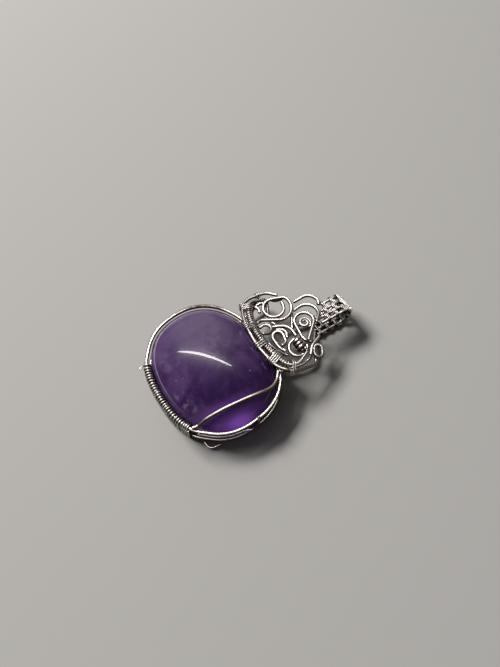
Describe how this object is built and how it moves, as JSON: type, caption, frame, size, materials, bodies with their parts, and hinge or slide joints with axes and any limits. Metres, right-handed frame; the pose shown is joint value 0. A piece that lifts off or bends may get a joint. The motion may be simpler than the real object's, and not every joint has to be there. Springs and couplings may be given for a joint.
{
  "type": "wire_wrapped_stone_pendant",
  "caption": "Wire-wrapped pendant: a domed oval violet stone in a silver wire frame, with a crown of scrolled wire and a woven loop for a chain",
  "frame": {"origin": "the middle of the stone's flat back, on the surface that the pendant lies on", "axes": "+Y runs from the stone through the crown to the chain loop, +X runs across the pendant, +Z points out of the stone's domed face"},
  "size_m": [0.032, 0.0481, 0.0094],
  "materials": {
    "violet_stone": "polished",
    "heavy_wire": "antiqued silver, burnished on the high spots",
    "fine_wire": "antiqued silver"
  },
  "bodies": {
    "root": {"stone": "violet_stone", "frame_front_wire": "heavy_wire", "frame_middle_wire": "heavy_wire", "frame_back_wire": "heavy_wire", "frame_coil": "fine_wire", "coil_tail": "fine_wire", "lower_curl": "heavy_wire", "prong_wire": "heavy_wire", "border_wire": "heavy_wire", "band_wire": "heavy_wire", "band_wrap_1": "fine_wire", "band_wrap_2": "fine_wire", "band_wrap_3": "fine_wire", "band_wrap_4": "fine_wire", "band_wrap_5": "fine_wire", "corner_wrap": "fine_wire", "s_scroll": "heavy_wire", "link_wire": "heavy_wire", "small_scroll": "heavy_wire", "long_arc": "heavy_wire", "inner_arc": "heavy_wire", "oval_scroll": "heavy_wire", "loop_scroll": "heavy_wire", "coil_bead": "heavy_wire", "strut": "heavy_wire", "swirl": "heavy_wire", "swirl_centre": "heavy_wire", "upper_arc": "heavy_wire", "shoulder_arc": "heavy_wire", "cross_wire": "heavy_wire", "brace_left": "heavy_wire", "brace_right": "heavy_wire", "bail": "fine_wire"}
  },
  "joints": []
}
